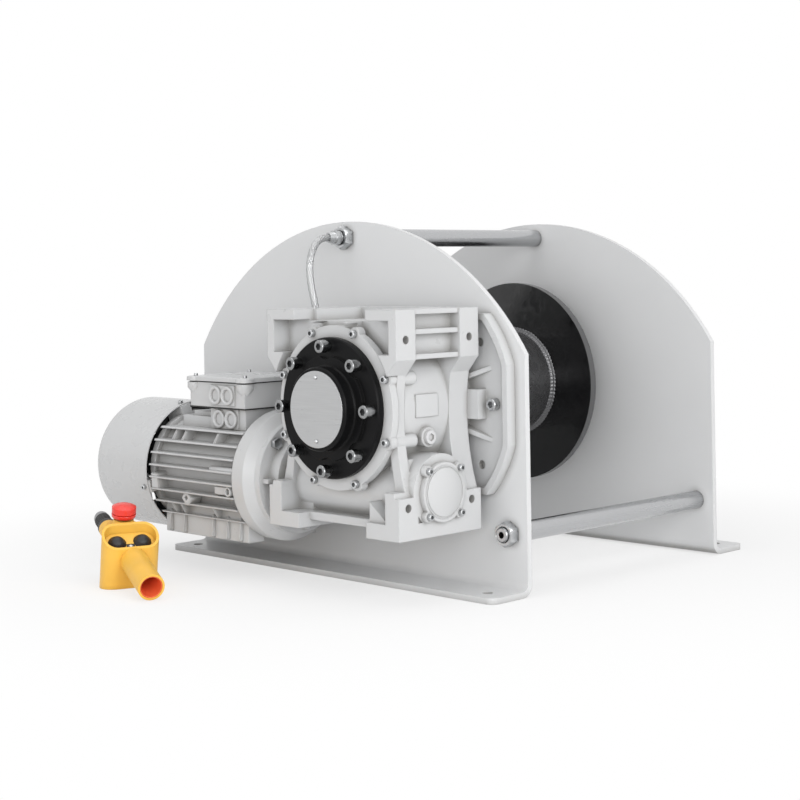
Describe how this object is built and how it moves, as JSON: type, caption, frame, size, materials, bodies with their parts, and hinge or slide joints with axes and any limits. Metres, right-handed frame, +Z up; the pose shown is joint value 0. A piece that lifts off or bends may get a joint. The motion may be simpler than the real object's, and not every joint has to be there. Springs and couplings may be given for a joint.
{
  "type": "electric winch",
  "caption": "Floor-standing electric rope winch: a flanged drum between arched side plates, driven by a worm gearbox and brake motor, with a pistol-grip pendant.",
  "frame": {"origin": "on the floor, at the centre of the four foot holes", "axes": "+Z up; +Y along the drum axis away from the gearbox; -X towards the motor's fan"},
  "size_m": [0.853, 1.0352, 0.6099],
  "materials": {
    "white_paint": "light grey-white semi-gloss paint",
    "black_paint": "satin black",
    "galvanised_steel": "zinc-grey, slightly dull",
    "zinc_plate": "bright zinc plate",
    "bare_steel": "machined",
    "dark_steel": "dark, oiled",
    "bronze": "machined bronze",
    "rotor_aluminium": "cast",
    "badge_aluminium": "brushed",
    "oil_plug_paint": "light grey paint",
    "fan_plastic": "moulded",
    "steel_braid": "woven wire braid",
    "yellow_plastic": "moulded, fine grain",
    "black_plastic": "moulded",
    "black_rubber": "satin",
    "red_plastic": "moulded",
    "stem_plastic": "moulded"
  },
  "bodies": {
    "frame": {"near_side_plate": "white_paint", "far_side_plate": "white_paint", "top_tie_rod": "galvanised_steel", "left_tie_rod": "galvanised_steel", "right_tie_rod": "galvanised_steel", "tie_rod_nuts": "zinc_plate", "axle_socket": "white_paint", "drum_axle": "bare_steel", "axle_keeper": "zinc_plate", "axle_keeper_bolts": "zinc_plate", "gearbox_flange": "white_paint", "gearbox_flange_bolts": "zinc_plate", "gearbox_housing": "white_paint", "gearbox_side_cover": "white_paint", "side_cover_screws": "zinc_plate", "bearing_cover": "black_paint", "bearing_cover_bolts": "zinc_plate", "nameplate": "badge_aluminium", "nameplate_screws": "zinc_plate", "worm_end_cover": "white_paint", "worm_cover_screws": "zinc_plate", "oil_plug": "oil_plug_paint", "output_bearings": "bare_steel", "drive_end_shield": "white_paint", "motor_flange_bolts": "zinc_plate", "stator_housing": "white_paint", "stator_core": "bare_steel", "rotor_bearings": "bare_steel", "rear_end_shield": "white_paint", "brake_magnet": "black_paint", "fan_cowl": "white_paint", "fan_cowl_screws": "zinc_plate", "terminal_neck": "white_paint", "terminal_box": "white_paint", "terminal_lid": "white_paint", "terminal_lid_screws": "zinc_plate", "cable_glands": "zinc_plate", "braided_cable": "steel_braid"},
    "drum": {"drum_barrel": "dark_steel", "near_drum_flange": "dark_steel", "far_drum_flange": "dark_steel", "drum_welds": "dark_steel", "drum_bearings": "bare_steel", "drum_gear": "bare_steel", "drum_gear_bolts": "zinc_plate"},
    "output": {"output_shaft": "bare_steel", "output_pinion": "bare_steel", "worm_wheel": "bronze"},
    "rotor": {"worm_shaft": "bare_steel", "rotor_cage": "rotor_aluminium", "brake_disc": "bare_steel", "motor_fan": "fan_plastic"},
    "pendant": {"pendant_housing": "yellow_plastic", "pendant_button_plate": "yellow_plastic", "pendant_gland": "black_plastic"},
    "up_button": {"up_button": "black_rubber"},
    "down_button": {"down_button": "black_rubber"},
    "stop_plunger": {"stop_stem": "stem_plastic"},
    "stop_head": {"stop_head": "red_plastic"}
  },
  "joints": [
    {"name": "drum_spin", "type": "hinge", "parent": "frame", "child": "drum", "pos_m": [0, 0, 0.305], "axis": [0, 1, 0], "continuous": true},
    {"name": "output_spin", "type": "hinge", "parent": "frame", "child": "output", "pos_m": [0.186, -0.3, 0.305], "axis": [0, 1, 0], "continuous": true},
    {"name": "rotor_spin", "type": "hinge", "parent": "frame", "child": "rotor", "pos_m": [0, -0.382, 0.175], "axis": [1, 0, 0], "continuous": true},
    {"name": "pendant_lift", "type": "slide", "parent": "frame", "child": "pendant", "axis": [0, 0, 1], "range_m": [0, 0.6]},
    {"name": "up_press", "type": "slide", "parent": "pendant", "child": "up_button", "axis": [-0.6198, 0.2379, -0.7478], "range_m": [0, 0.004], "stiffness_N_per_m": 1500, "springref_m": -0.002},
    {"name": "down_press", "type": "slide", "parent": "pendant", "child": "down_button", "axis": [-0.6198, 0.2379, -0.7478], "range_m": [0, 0.004], "stiffness_N_per_m": 1500, "springref_m": -0.002},
    {"name": "stop_press", "type": "slide", "parent": "pendant", "child": "stop_plunger", "axis": [-0.2195, 0.0843, -0.972], "range_m": [0, 0.005], "stiffness_N_per_m": 2000, "springref_m": -0.003},
    {"name": "stop_twist", "type": "hinge", "parent": "stop_plunger", "child": "stop_head", "pos_m": [-0.18819, -0.60996, 0.12196], "axis": [-0.2195, 0.0843, -0.972], "range_deg": [0, 45], "stiffness_Nm_per_rad": 0.3, "springref_deg": -11.46}
  ],
  "couplings": [
    {"joint": "output_spin", "follows": "drum_spin", "ratio": -2.875},
    {"joint": "rotor_spin", "follows": "drum_spin", "ratio": -115}
  ]
}
